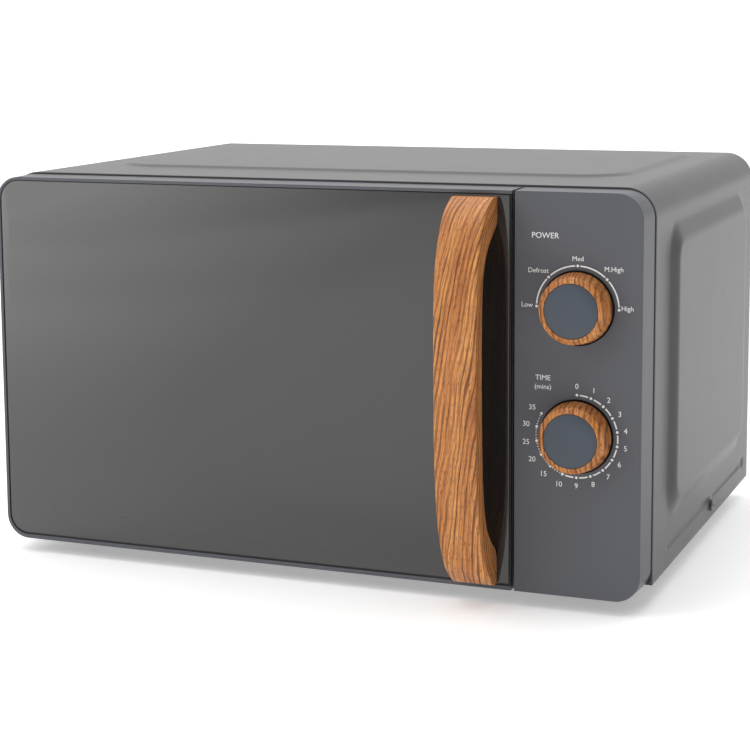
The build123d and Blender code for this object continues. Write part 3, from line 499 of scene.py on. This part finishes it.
def smooth_path(controls, count):
    """Points at even steps along a curve that passes through the control points."""
    ends = [controls[0], *controls, controls[-1]]
    dense = []
    for group in zip(ends, ends[1:], ends[2:], ends[3:]):
        dense += [tuple(between(*values, step / 24) for values in zip(*group)) for step in range(24)]
    dense.append(tuple(controls[-1]))
    lengths = [0.0]
    for p, q in zip(dense, dense[1:]):
        lengths.append(lengths[-1] + math.dist(p, q))
    path = []
    for step in range(count):
        target = lengths[-1] * step / (count - 1)
        k = max(1, next((n for n, v in enumerate(lengths) if v >= target), len(lengths) - 1))
        share = (target - lengths[k - 1]) / max(1e-12, lengths[k] - lengths[k - 1])
        path.append(tuple(p + (q - p) * share for p, q in zip(dense[k - 1], dense[k])))
    return path


# ---- cabinet ------------------------------------------------------------------------------------
def ease(t):
    """Soft step from 0 to 1."""
    t = min(1.0, max(0.0, t))
    return t * t * (3 - 2 * t)


def drawn_slope(t, bend=0.10):
    """Straight slope from 0 to 1 with a tight bend at each end, as a press tool leaves it."""
    t = min(1.0, max(0.0, t))
    pitch = 1 / (1 - bend)
    if t < bend:
        return pitch * t * t / (2 * bend)
    if t > 1 - bend:
        return 1 - pitch * (1 - t) ** 2 / (2 * bend)
    return pitch * (t - bend / 2)


def depth_in_field(u, v, low_u, high_u, low_v, high_v, radius):
    """How far a point lies inside a rounded rectangle, negative outside."""
    du = abs(u - (low_u + high_u) / 2) - (high_u - low_u) / 2 + radius
    dv = abs(v - (low_v + high_v) / 2) - (high_v - low_v) / 2 + radius
    outside = math.hypot(max(du, 0), max(dv, 0))
    return radius - outside - min(max(du, dv), 0)


BODY_FRONT = CABINET_LOW.y
BODY_REAR = CABINET_HIGH.y
SHEET = 0.8 * MM
MESH_STEP = 2.6 * MM
FINE_STEP = 0.65 * MM       # spacing across the narrow side grooves
SIDE_RISE = 4.5 * MM        # the raised side panel, and the slope round it
SIDE_SLOPE = 12.5 * MM
TOP_RISE = 1.4 * MM
TOP_SLOPE = 7 * MM
GROOVE_DEPTH = 1.0 * MM
SIDE_X = CABINET_HIGH.x - SIDE_RISE
ROOF_Z = CABINET_HIGH.z - TOP_RISE
FOOT_Z = CABINET_LOW.z
CORNER = 19.0 * MM


def cabinet_outline(spacing):
    """Upright section of the wrap from the right foot over the top: (x, z, outward x, outward z)."""
    outline = []
    rise = ROOF_Z - CORNER - FOOT_Z
    steps = round(rise / spacing)
    for step in range(steps):
        outline.append((SIDE_X, FOOT_Z + rise * step / steps, 1.0, 0.0))
    for step in range(17):
        angle = math.pi / 2 * step / 16
        nx, nz = math.cos(angle), math.sin(angle)
        outline.append((SIDE_X - CORNER + CORNER * nx, ROOF_Z - CORNER + CORNER * nz, nx, nz))
    half = SIDE_X - CORNER
    steps = round(half / spacing)
    for step in range(1, steps + 1):
        outline.append((half * (1 - step / steps), ROOF_Z, 0.0, 1.0))
    return outline + [(-x, z, -nx, nz) for x, z, nx, nz in reversed(outline[:-1])]


def pressing(x, y, z, outward_z):
    """Height of the pressed panels and grooves over the plain wrap."""
    back = y - FACE_Y
    if outward_z > 0.99:
        inside = depth_in_field(x, back, -188 * MM, 188 * MM, 84 * MM, 312 * MM, 38 * MM)
        return TOP_RISE * ease(inside / TOP_SLOPE)
    if abs(outward_z) > 0.01:
        return 0.0
    inside = depth_in_field(back, z, 57 * MM, 296 * MM, 46.5 * MM, 234 * MM, 24 * MM)
    front_groove = depth_in_field(back, z, 62 * MM, 190 * MM, 26.6 * MM, 31.4 * MM, 2.3 * MM)
    rear_groove = depth_in_field(back, z, 200 * MM, 299 * MM, 27.4 * MM, 31.0 * MM, 1.7 * MM)
    from_screw = math.hypot((back - 305 * MM) / 1.3, z - 29.5 * MM)
    groove = ease(max(front_groove, rear_groove) / GROOVE_DEPTH)
    dimple = ease(1.9 - from_screw / (2.6 * MM))
    return SIDE_RISE * drawn_slope(inside / SIDE_SLOPE) - GROOVE_DEPTH * (groove + dimple)


def cabinet_rows(spacing):
    """Stations from front to rear: (y, how far the sheet is turned inward there)."""
    rows = [(BODY_FRONT + 0.2 * MM, 4.5 * MM), (BODY_FRONT, 0.35 * MM), (BODY_FRONT + 0.1 * MM, 0.1 * MM),
            (BODY_FRONT + 0.4 * MM, 0.0)]
    length = BODY_REAR - BODY_FRONT - 1.7 * MM
    steps = round(length / spacing)
    rows += [(BODY_FRONT + 0.4 * MM + length * step / steps, 0.0) for step in range(1, steps + 1)]
    return rows + [(BODY_REAR - 0.4 * MM, 0.35 * MM), (BODY_REAR, 1.3 * MM), (BODY_REAR, 12 * MM)]


def wrap_section():
    """The outline with closer points on both sides, where the grooves and dimples are."""
    outline = cabinet_outline(MESH_STEP)
    close = [FOOT_Z + n * FINE_STEP for n in range(15, 31)]
    low, high = close[0] - FINE_STEP / 2, close[-1] + FINE_STEP / 2
    over = [p for p in outline if p[3] > 0.01]
    side = [p for p in outline if p[0] > 0 and p[3] <= 0.01 and not low < p[1] < high]
    side = sorted(side + [(SIDE_X, z, 1.0, 0.0) for z in close], key=lambda p: p[1])
    return side + over + [(-x, z, -nx, nz) for x, z, nx, nz in reversed(side)]


def cabinet_wrap():
    """Top and both sides in one sheet, with its pressed panels and turned edges."""
    section = wrap_section()
    rows = cabinet_rows(MESH_STEP)
    points, faces = [], []
    for y, inward in rows:
        for x, z, nx, nz in section:
            height = (pressing(x, y, z, nz) if inward == 0 else 0.0) - inward
            points.append((x + nx * height, y, z + nz * height))
    count = len(section)
    for row in range(len(rows) - 1):
        for step in range(count - 1):
            first = row * count + step
            faces.append((first, first + 1, first + count + 1, first + count))
    piece = piece_from("cabinet_wrap", points, faces, CABINET_GREY, "chassis", "cabinet_paint",
                       "outer_cabinet")
    sheet = piece.modifiers.new("sheet", "SOLIDIFY")
    sheet.thickness, sheet.offset = SHEET, -1.0


# ---- moulded front and door ---------------------------------------------------------------------
def moulded_front():
    """Control panel, and the door with its glass and the moulded ring on its back."""
    softened("control_panel", FRONT_GREY, "chassis", "front_moulding", 0.45 * MM, 2)
    softened("door_frame", FRONT_GREY, "door", "front_moulding", 0.6 * MM, 3)
    glass_pane()
    softened("choke_cover", CHOKE_BLACK, "door", "choke_film", 0.5 * MM, 2)


SEAT_LIFT = 0.55 * MM      # the glass sits high in its seat, so the black seal, which is also painted shade round the glass, shows least along the top
PANE_ROUND, PANE_SQUARE = 13.5 * MM, 0.8 * MM


def pane_outline(inset, depth, lift=0.0):
    """Outline of the door glass, round at the left and square at the split, at a depth behind its face."""
    x0, x1 = GLASS_LOW.x + inset, GLASS_HIGH.x - inset
    z0, z1 = GLASS_LOW.z + inset + lift / 2, GLASS_HIGH.z - inset + lift
    corners = ((x1, z0, PANE_SQUARE, 270), (x1, z1, PANE_SQUARE, 0),
               (x0, z1, PANE_ROUND, 90), (x0, z0, PANE_ROUND, 180))
    points = []
    for x, z, radius, start in corners:
        radius = max(0.3 * MM, radius - inset)
        centre_x = x - radius if x == x1 else x + radius
        centre_z = z - radius if z == z1 else z + radius
        for step in range(17):
            turn = math.radians(start + 90 * step / 16)
            points.append(Vector((centre_x + radius * math.cos(turn), GLASS_LOW.y + depth,
                                  centre_z + radius * math.sin(turn))))
    return points


def glass_pane():
    """Mirror glass with a ground arris, and the black seal it is bedded in, which doubles as painted shade
    along the glass's edges.
    """
    back = GLASS_HIGH.y - GLASS_LOW.y
    arris = ((0.75 * MM, back), (0.75 * MM, 0.45 * MM), (1.0 * MM, 0.05 * MM), (1.25 * MM, 0.0))
    rings = [pane_outline(inset, depth, SEAT_LIFT) for inset, depth in arris]
    points, faces = lofted(rings, close_first=True, close_last=True)
    pane = piece_from("glass_pane", points, faces, MIRROR, "door", "mirror_glass", "door_glass")
    sharpen(pane, 20.0)
    # The black seal is partly the real seal and partly painted shade in the gap round the glass.
    rings = [pane_outline(-0.1 * MM, back), pane_outline(-0.1 * MM, 1.0 * MM),
             pane_outline(0.7 * MM, 1.0 * MM, SEAT_LIFT), pane_outline(0.7 * MM, back, SEAT_LIFT)]
    points, faces = lofted(rings, wrap=True)
    sharpen(piece_from("glass_seal_and_shade", points, faces, BLACK, "door", "mirror_glass"), 20.0)


def bar_section(x0, x1, front, back, z_front, z_back, front_radius, back_radius):
    """Ring of points round the bar at one station. Front and back are Y places."""
    ring = []
    corners = ((x0, front, z_front, 1, 1, front_radius), (x1, front, z_front, -1, 1, front_radius),
               (x1, back, z_back, -1, -1, back_radius), (x0, back, z_back, 1, -1, back_radius))
    for x, y, z, away_x, away_y, radius in corners:
        for step in range(5):
            turn = math.pi / 2 * step / 4
            across, deep = math.cos(turn), math.sin(turn)
            if away_x != away_y:
                across, deep = deep, across
            ring.append(Vector((x + away_x * radius * (1 - across), y + away_y * radius * (1 - deep), z)))
    return ring


# The bar's outer and inner lines, in mm: (distance from the door's face, height over its lower edge)
HANDLE_OUTER = [(-9, 244), (-19.5, 238), (-29, 227.5), (-36, 212.5), (-40.2, 193), (-41.4, 165),
                (-41.5, 135), (-40.9, 100), (-38.6, 68), (-33, 41), (-23.5, 20), (-13, 9), (-6, 4)]
HANDLE_INNER = [(0, 244), (0, 235), (-0.5, 228.5), (-8, 222.5), (-18, 214.5), (-25, 203), (-28.6, 188),
                (-29.8, 150), (-28.8, 100), (-26.4, 68), (-21, 46), (-12, 34), (-4, 27), (-0.5, 20),
                (0, 4)]
DOOR_FOOT = 9.5             # mm from the floor to the door's lower edge
HANDLE_STATIONS = 110
FILM_LENGTH = 240 * MM


def door_handle():
    """Bowed bar between two feet, its section a rounded rectangle."""
    rings = []
    for (yf, zf), (yb, zb) in zip(smooth_path(HANDLE_OUTER, HANDLE_STATIONS),
                                  smooth_path(HANDLE_INNER, HANDLE_STATIONS)):
        rings.append(bar_section(HANDLE_LOW.x, HANDLE_HIGH.x, FACE_Y + yf * MM, FACE_Y + yb * MM,
                                 (DOOR_FOOT + zf) * MM, (DOOR_FOOT + zb) * MM, 1.2 * MM, 0.8 * MM))
    points, faces = lofted(rings, close_first=True, close_last=True)
    piece = piece_from("handle_bar", points, faces, WOOD, "door", "wood_effect", "door_handle")
    sharpen(piece, 50.0)
    places = []
    for row, ring in enumerate(rings):
        along = -FILM_LENGTH * row / (HANDLE_STATIONS - 1)
        places += [(HANDLE_LOW.x + around, along, 0.0) for around in film_reach(ring)]
    set_grain(piece, places)


def film_reach(ring):
    """How far each point of a bar section lies from its left front corner, along the wrapped film."""
    reach = [0.0]
    for before, after in zip(ring, ring[1:]):
        reach.append(reach[-1] + (after - before).length)
    turn_back = reach[-1] + (ring[0] - ring[-1]).length
    seam = 3 * len(ring) // 4
    return [r if n < seam else r - turn_back for n, r in enumerate(reach)]


def set_grain(piece, places):
    """Where each point lies in the printed grain: across, along and through the streaks."""
    grain = piece.data.attributes.new("grain_place", "FLOAT_VECTOR", "POINT")
    for item, place in zip(grain.data, places):
        item.vector = place


# ---- dials --------------------------------------------------------------------------------------
# Turned outlines in mm: (radius, distance from the panel's face)
KNOB_RIM = [(14.0, -0.9), (21.2, -0.9), (21.55, -1.0), (21.75, -1.3), (21.75, -2.0), (20.45, -12.5),
            (20.25, -13.1), (19.8, -13.6), (17.3, -15.1), (16.95, -15.2), (16.72, -15.05), (16.7, -14.6),
            (16.7, -12.0), (8.0, -12.0)]
# Black ring round the knob's base: painted shadow in the gap between the knob and the panel.
KNOB_SHADOW_RING = [(19.0, -0.1), (22.6, -0.1), (22.8, -0.25), (22.8, -0.75), (22.6, -0.95), (19.0, -0.95)]
KNOB_CAP = [(16.6, -12.0), (16.6, -14.5), (16.5, -14.8), (16.2, -14.95), (8.0, -14.95)]


def dial(body, rim_node, cap_node, spin):
    """Wood-effect rim, a near-black ring at its base that is painted shadow where the knob stands off the
    panel, and the flat slate cap of one dial.
    """
    place = middle(cap_node)
    centre = Vector((place.x, FACE_Y, place.z))
    for name, section, material, slot, nodes in (
            (f"{body}_rim", KNOB_RIM, WOOD, "wood_effect", (rim_node,)),
            (f"{body}_shadow_ring", KNOB_SHADOW_RING, PAINTED_SHADOW_BLACK, "black_plastic", ()),
            (f"{body}_cap", KNOB_CAP, SLATE, "slate_cap", (cap_node,))):
        points, faces = turned([(r * MM, y * MM) for r, y in section], centre, 128)
        piece = piece_from(name, points, faces, material, body, slot, *nodes)
        sharpen(piece, 60.0)
        if material is WOOD:
            turn = Matrix.Rotation(math.radians(spin), 4, "Y")
            local = [turn @ (v.co - centre) for v in piece.data.vertices]
            set_grain(piece, [(p.x * 1.1 + 0.3 * spin, p.z, p.y * 0.5) for p in local])


# ---- dial scales --------------------------------------------------------------------------------
PRINT_Y = FACE_Y - 0.06 * MM
INK = 0.05 * MM
RING_R = 25.4 * MM
RING_LINE = 0.9 * MM
SPOT, SMALL_SPOT = 0.85 * MM, 0.36 * MM
LETTER_RISE = 0.75      # height of capital and tail together in the built-in face, for a size of 1


def lettering(name, words, x, z, height):
    """One printed word or number, centred on its place."""
    curve = bpy.data.curves.new(name, "FONT")
    curve.body = words
    curve.size = height / LETTER_RISE
    curve.align_x = "CENTER"
    curve.align_y = "CENTER"
    curve.extrude = 0.03 * MM
    curve.resolution_u = 6
    written = bpy.data.objects.new(name + "_outline", curve)
    bpy.context.scene.collection.objects.link(written)
    written.location = (x, PRINT_Y, z)
    written.rotation_euler = (math.pi / 2, 0, 0)
    bpy.context.view_layer.update()
    mesh = bpy.data.meshes.new_from_object(written.evaluated_get(bpy.context.evaluated_depsgraph_get()))
    mesh.transform(written.matrix_world)
    bpy.data.objects.remove(written)
    return mesh


def arc_strip(centre, start, end):
    """Flat printed arc on the ring between two angles, clockwise from the top in degrees."""
    steps = max(4, round(abs(end - start) / 2.0))
    rings = []
    for step in range(steps + 1):
        angle = math.radians(start + (end - start) * step / steps)
        out = Vector((math.sin(angle), 0, math.cos(angle)))
        inner, outer = centre + out * (RING_R - RING_LINE / 2), centre + out * (RING_R + RING_LINE / 2)
        rise = Vector((0, INK, 0))
        rings.append([inner, outer, outer + rise, inner + rise])
    return lofted(rings, close_first=True, close_last=True)


def spot(centre, angle, size):
    """Printed dot on the ring."""
    turn = math.radians(angle)
    place = centre + Vector((math.sin(turn), 0, math.cos(turn))) * RING_R
    return turned([(size, 0.0), (size, INK)], place, 20)


def print_piece(name, meshes, shapes):
    """All the print of one scale, as one piece."""
    work = bmesh.new()
    for mesh in meshes:
        work.from_mesh(mesh)
        bpy.data.meshes.remove(mesh)
    for points, faces in shapes:
        made = [work.verts.new(p) for p in points]
        for face in faces:
            work.faces.new([made[n] for n in face])
    mesh = bpy.data.meshes.new(name)
    work.to_mesh(mesh)
    work.free()
    piece = bpy.data.objects.new(name, mesh)
    bpy.context.scene.collection.objects.link(piece)
    settle(piece, PRINT_WHITE, "chassis", "front_moulding", smooth=False)


# Words and their places from the dial's centre, in mm
POWER_WORDS = (("Low", -31.4, 0.6), ("Defrost", -24.4, 21.7), ("Med", 0.1, 29.6), ("M.High", 22.1, 24.0),
               ("High", 30.5, 0.9))


def power_scale():
    """Five settings on a half ring, and the dial's title."""
    place = middle("power_knob_cap")
    centre = Vector((place.x, PRINT_Y, place.z))
    words = [lettering("power_" + text, text, centre.x + x * MM, centre.z + z * MM, 3.1 * MM)
             for text, x, z in POWER_WORDS]
    words.append(lettering("power_title", "POWER", centre.x - 20.2 * MM, centre.z + 42.9 * MM, 3.7 * MM))
    shapes = [spot(centre, angle, SPOT) for angle in (-90, -45, 0, 45, 90)]
    shapes += [arc_strip(centre, start + 3.6, start + 41.4) for start in (-90, -45, 0, 45)]
    print_piece("power_scale", words, shapes)


def timer_scale():
    """Minutes round the ring: wide steps up to 10, and narrow ones from there to 35."""
    place = middle("timer_knob_cap")
    centre = Vector((place.x, PRINT_Y, place.z))
    marks = [(str(n), 20.0 * n) for n in range(11)]
    marks += [(str(n), 200 + 4.0 * (n - 10)) for n in (15, 20, 25, 30, 35)]
    words, shapes = [], []
    for text, angle in marks:
        turn = math.radians(angle)
        reach = 32.2 * MM if len(text) > 1 else 30.6 * MM
        words.append(lettering("minutes_" + text, text, centre.x + reach * math.sin(turn),
                               centre.z + reach * math.cos(turn), 3.45 * MM))
        shapes.append(spot(centre, angle, SPOT))
    shapes += [arc_strip(centre, 20 * n + 4.2, 20 * n + 15.8) for n in range(10)]
    shapes += [spot(centre, 200 + 4 * n, SMALL_SPOT) for n in range(1, 25) if n % 5]
    title_x = centre.x - 21.2 * MM
    words.append(lettering("timer_title", "TIME", title_x, centre.z + 34.7 * MM, 3.4 * MM))
    words.append(lettering("timer_unit_words", "(mins)", title_x, centre.z + 29.2 * MM, 3.2 * MM))
    print_piece("timer_scale", words, shapes)


# ---- plain and small pieces ---------------------------------------------------------------------
ROUNDED_NODES = (
    ("front_frame", FRAME_PAINT, "chassis", "frame_paint", 0.2),
    ("feet", RUBBER, "chassis", "rubber", 0.4),
    ("cable_gland", BLACK, "chassis", "black_plastic", 0.5),
    ("latch_hooks", NYLON, "latch_bar", "white_plastic", 0.35),
    ("drive_coupler", NYLON, "coupler", "white_plastic", 0.4),
    ("upper_hinge", GALVANISED, "chassis", "galvanised", 0.25),
    ("lower_hinge", GALVANISED, "chassis", "galvanised", 0.25),
)


def small_pieces():
    """CAD shapes that only need their edges softened."""
    for node, material, body, slot, width in ROUNDED_NODES:
        softened(node, material, body, slot, width * MM)


SPRING_TURNS = 7
SPRING_WIRE_R = 0.5 * MM


def latch_coil():
    """Helical spring over the slide bar."""
    low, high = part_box("latch_spring")
    axis = middle("latch_spring")
    radius = (high.x - low.x) / 2 - SPRING_WIRE_R
    first, last = low.z + SPRING_WIRE_R, high.z - SPRING_WIRE_R
    up = Vector((0, 0, 1))
    around = [2 * math.pi * n / 10 for n in range(10)]
    steps = SPRING_TURNS * 24
    rings = []
    for step in range(steps + 1):
        angle = 2 * math.pi * SPRING_TURNS * step / steps
        out = Vector((math.cos(angle), math.sin(angle), 0))
        wire = Vector((axis.x, axis.y, first + (last - first) * step / steps)) + out * radius
        rings.append([wire + SPRING_WIRE_R * (out * math.cos(a) + up * math.sin(a)) for a in around])
    points, faces = lofted(rings, close_first=True, close_last=True)
    coil = piece_from("latch_coil", points, faces, SPRING_WIRE, "door", "spring_steel", "latch_spring")
    sharpen(coil, 60.0)
    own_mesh(coil)


# ---- studio -------------------------------------------------------------------------------------
FLAG_AIM = Vector((0.80, -0.60, 0.0))       # the dark flags stand this way from the oven
AIR_WHITE = 1.05
AIR_DARK = 0.05
FLAG_START, FLAG_FULL = 0.10, 0.75
CAMERA_PLACE = Vector((0.4886, FACE_Y - 1.1041, 0.3630))
CAMERA_PAN, CAMERA_DIP, CAMERA_ROLL = math.radians(22.494), math.radians(7.694), math.radians(-0.517)


def studio_floor():
    """Wide pale floor that glows a little, so that it stays white."""
    points = [(-30, -30, 0), (30, -30, 0), (30, 30, 0), (-30, 30, 0)]
    mesh = bpy.data.meshes.new("studio_floor")
    mesh.from_pydata(points, [], [(0, 1, 2, 3)])
    floor = bpy.data.objects.new("studio_floor", mesh)
    bpy.context.scene.collection.objects.link(floor)
    paint(floor, grained("floor_white", (0.90, 0.90, 0.90), (0.92, 0.92, 0.92), 0.7, 40.0, 0.0001,
                         Emission_Color=(1, 1, 1, 1), Emission_Strength=0.30))


def soft_light(name, place, aim, width, height, power):
    """Rectangular soft box at a place, turned to its aim."""
    light = bpy.data.lights.new(name, "AREA")
    light.shape = "RECTANGLE"
    light.size, light.size_y, light.energy = width, height, power
    lamp = bpy.data.objects.new(name, light)
    lamp.location = place
    lamp.rotation_euler = (Vector(aim) - Vector(place)).to_track_quat("-Z", "Y").to_euler()
    bpy.context.scene.collection.objects.link(lamp)


def broad_sky(name, aim, strength, spread):
    """Very soft even light from one direction, the same over the whole floor."""
    light = bpy.data.lights.new(name, "SUN")
    light.energy, light.angle = strength, math.radians(spread)
    lamp = bpy.data.objects.new(name, light)
    lamp.rotation_euler = Vector(aim).to_track_quat("-Z", "Y").to_euler()
    bpy.context.scene.collection.objects.link(lamp)


def studio_air():
    """White studio, with dark flags in front and at the right hand."""
    world = bpy.data.worlds.new("studio_air")
    bpy.context.scene.world = world
    world.use_nodes = True
    tree = world.node_tree
    aim = tree.nodes.new("ShaderNodeTexCoord").outputs["Generated"]
    spin = tree.nodes.new("ShaderNodeVectorMath")
    spin.operation = "DOT_PRODUCT"
    spin.inputs[1].default_value = FLAG_AIM
    tree.links.new(aim, spin.inputs[0])
    ramp = tree.nodes.new("ShaderNodeValToRGB")
    stops = ((FLAG_START, AIR_WHITE), (FLAG_FULL, AIR_DARK))
    for element, (place, level) in zip(ramp.color_ramp.elements, stops):
        element.position = place
        element.color = (level, level, level, 1)
    tree.links.new(spin.outputs["Value"], ramp.inputs[0])
    tree.links.new(ramp.outputs[0], tree.nodes["Background"].inputs["Color"])


def studio_light():
    """Even light from above, and one soft box at the left front."""
    studio_air()
    broad_sky("overhead_sky", (0.10, -0.12, -1.0), 1.4, 70)
    soft_light("left_light", (-1.9, -1.6, 1.5), (-0.1, 0, 0.12), 1.3, 1.3, 14)


def studio_camera():
    """Long lens from the right front, a little above the oven."""
    lens = bpy.data.cameras.new("studio_camera")
    lens.lens, lens.sensor_width = 92.49, 36.0
    lens.shift_x, lens.shift_y = 0.04, -0.1333
    lens.clip_start, lens.clip_end = 0.05, 50
    camera = bpy.data.objects.new("studio_camera", lens)
    turn = (Matrix.Rotation(CAMERA_PAN, 4, "Z") @ Matrix.Rotation(math.pi / 2 - CAMERA_DIP, 4, "X")
            @ Matrix.Rotation(CAMERA_ROLL, 4, "Z"))
    camera.matrix_world = Matrix.Translation(CAMERA_PLACE) @ turn
    bpy.context.scene.collection.objects.link(camera)
    bpy.context.scene.camera = camera


# ---- put together -------------------------------------------------------------------------------
paint_nodes()
cabinet_wrap()
moulded_front()
door_handle()
dial("power_dial", "power_knob", "power_knob_cap", 16.0)
dial("timer_dial", "timer_knob", "timer_knob_cap", 14.0)
power_scale()
timer_scale()
small_pieces()
latch_coil()
studio_floor()
studio_light()
studio_camera()
bpy.context.scene.view_settings.view_transform = "Standard"
